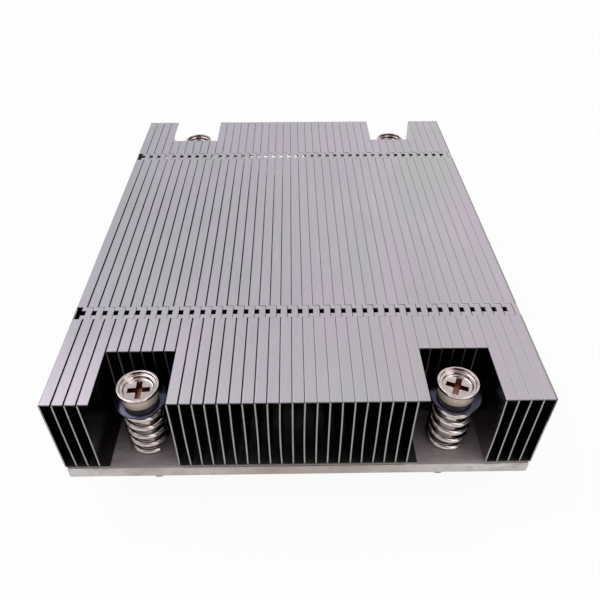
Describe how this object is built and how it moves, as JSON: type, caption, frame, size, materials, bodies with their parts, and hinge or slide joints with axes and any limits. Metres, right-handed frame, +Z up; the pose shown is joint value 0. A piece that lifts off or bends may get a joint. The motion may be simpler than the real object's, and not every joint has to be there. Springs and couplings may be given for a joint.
{
  "type": "passive server cpu heatsink",
  "caption": "Low passive heatsink: folded sheet fins hooked together on a flat base plate, with captive spring screws standing in corner notches.",
  "frame": {"origin": "centre of the base plate's underside, the face that meets the processor", "axes": "+Y along the air channels towards the rear, +X across the fins to the right, +Z up from the base"},
  "size_m": [0.0852, 0.1074, 0.0289],
  "materials": {
    "base_metal": "milled, with fine machining lines",
    "fin_sheet": "rolled sheet, satin with soft streaks",
    "screw_plating": "bright nickel plate",
    "spring_wire": "bright nickel plated wire",
    "washer_plating": "blue zinc plate",
    "clip_steel": "phosphated spring steel"
  },
  "bodies": {
    "heatsink_body": {"base_plate": "base_metal", "fin_01": "fin_sheet", "fin_02": "fin_sheet", "fin_03": "fin_sheet", "fin_04": "fin_sheet", "fin_05": "fin_sheet", "fin_06": "fin_sheet", "fin_07": "fin_sheet", "fin_08": "fin_sheet", "fin_09": "fin_sheet", "fin_10": "fin_sheet", "fin_11": "fin_sheet", "fin_12": "fin_sheet", "fin_13": "fin_sheet", "fin_14": "fin_sheet", "fin_15": "fin_sheet", "fin_16": "fin_sheet", "fin_17": "fin_sheet", "fin_18": "fin_sheet", "fin_19": "fin_sheet", "fin_20": "fin_sheet", "fin_21": "fin_sheet", "fin_22": "fin_sheet", "fin_23": "fin_sheet", "fin_24": "fin_sheet", "fin_25": "fin_sheet", "fin_26": "fin_sheet", "fin_27": "fin_sheet", "fin_28": "fin_sheet", "fin_29": "fin_sheet", "fin_30": "fin_sheet", "fin_31": "fin_sheet", "fin_32": "fin_sheet", "fin_33": "fin_sheet", "fin_34": "fin_sheet", "fin_35": "fin_sheet", "fin_36": "fin_sheet", "fin_37": "fin_sheet", "fin_38": "fin_sheet", "fin_39": "fin_sheet", "fin_40": "fin_sheet", "fin_41": "fin_sheet", "fin_42": "fin_sheet", "spring_front_left": "spring_wire", "spring_front_right": "spring_wire", "spring_rear_left": "spring_wire", "spring_rear_right": "spring_wire"},
    "washer_body_front_left": {"washer_front_left": "washer_plating"},
    "screw_body_front_left": {"screw_front_left": "screw_plating", "retaining_clip_front_left": "clip_steel"},
    "washer_body_front_right": {"washer_front_right": "washer_plating"},
    "screw_body_front_right": {"screw_front_right": "screw_plating", "retaining_clip_front_right": "clip_steel"},
    "washer_body_rear_left": {"washer_rear_left": "washer_plating"},
    "screw_body_rear_left": {"screw_rear_left": "screw_plating", "retaining_clip_rear_left": "clip_steel"},
    "washer_body_rear_right": {"washer_rear_right": "washer_plating"},
    "screw_body_rear_right": {"screw_rear_right": "screw_plating", "retaining_clip_rear_right": "clip_steel"}
  },
  "joints": [
    {"name": "screw_travel_front_left", "type": "slide", "parent": "heatsink_body", "child": "washer_body_front_left", "axis": [0, 0, -1], "range_m": [0, 0.0045], "stiffness_N_per_m": 14000, "springref_m": -0.0005, "deforming": ["spring_front_left"]},
    {"name": "screw_turn_front_left", "type": "hinge", "parent": "washer_body_front_left", "child": "screw_body_front_left", "pos_m": [-0.028, -0.047, 0.0146], "axis": [0, 0, 1], "continuous": true},
    {"name": "screw_travel_front_right", "type": "slide", "parent": "heatsink_body", "child": "washer_body_front_right", "axis": [0, 0, -1], "range_m": [0, 0.0045], "stiffness_N_per_m": 14000, "springref_m": -0.0005, "deforming": ["spring_front_right"]},
    {"name": "screw_turn_front_right", "type": "hinge", "parent": "washer_body_front_right", "child": "screw_body_front_right", "pos_m": [0.028, -0.047, 0.0146], "axis": [0, 0, 1], "continuous": true},
    {"name": "screw_travel_rear_left", "type": "slide", "parent": "heatsink_body", "child": "washer_body_rear_left", "axis": [0, 0, -1], "range_m": [0, 0.0045], "stiffness_N_per_m": 14000, "springref_m": -0.0005, "deforming": ["spring_rear_left"]},
    {"name": "screw_turn_rear_left", "type": "hinge", "parent": "washer_body_rear_left", "child": "screw_body_rear_left", "pos_m": [-0.028, 0.047, 0.0146], "axis": [0, 0, 1], "continuous": true},
    {"name": "screw_travel_rear_right", "type": "slide", "parent": "heatsink_body", "child": "washer_body_rear_right", "axis": [0, 0, -1], "range_m": [0, 0.0045], "stiffness_N_per_m": 14000, "springref_m": -0.0005, "deforming": ["spring_rear_right"]},
    {"name": "screw_turn_rear_right", "type": "hinge", "parent": "washer_body_rear_right", "child": "screw_body_rear_right", "pos_m": [0.028, 0.047, 0.0146], "axis": [0, 0, 1], "continuous": true}
  ]
}
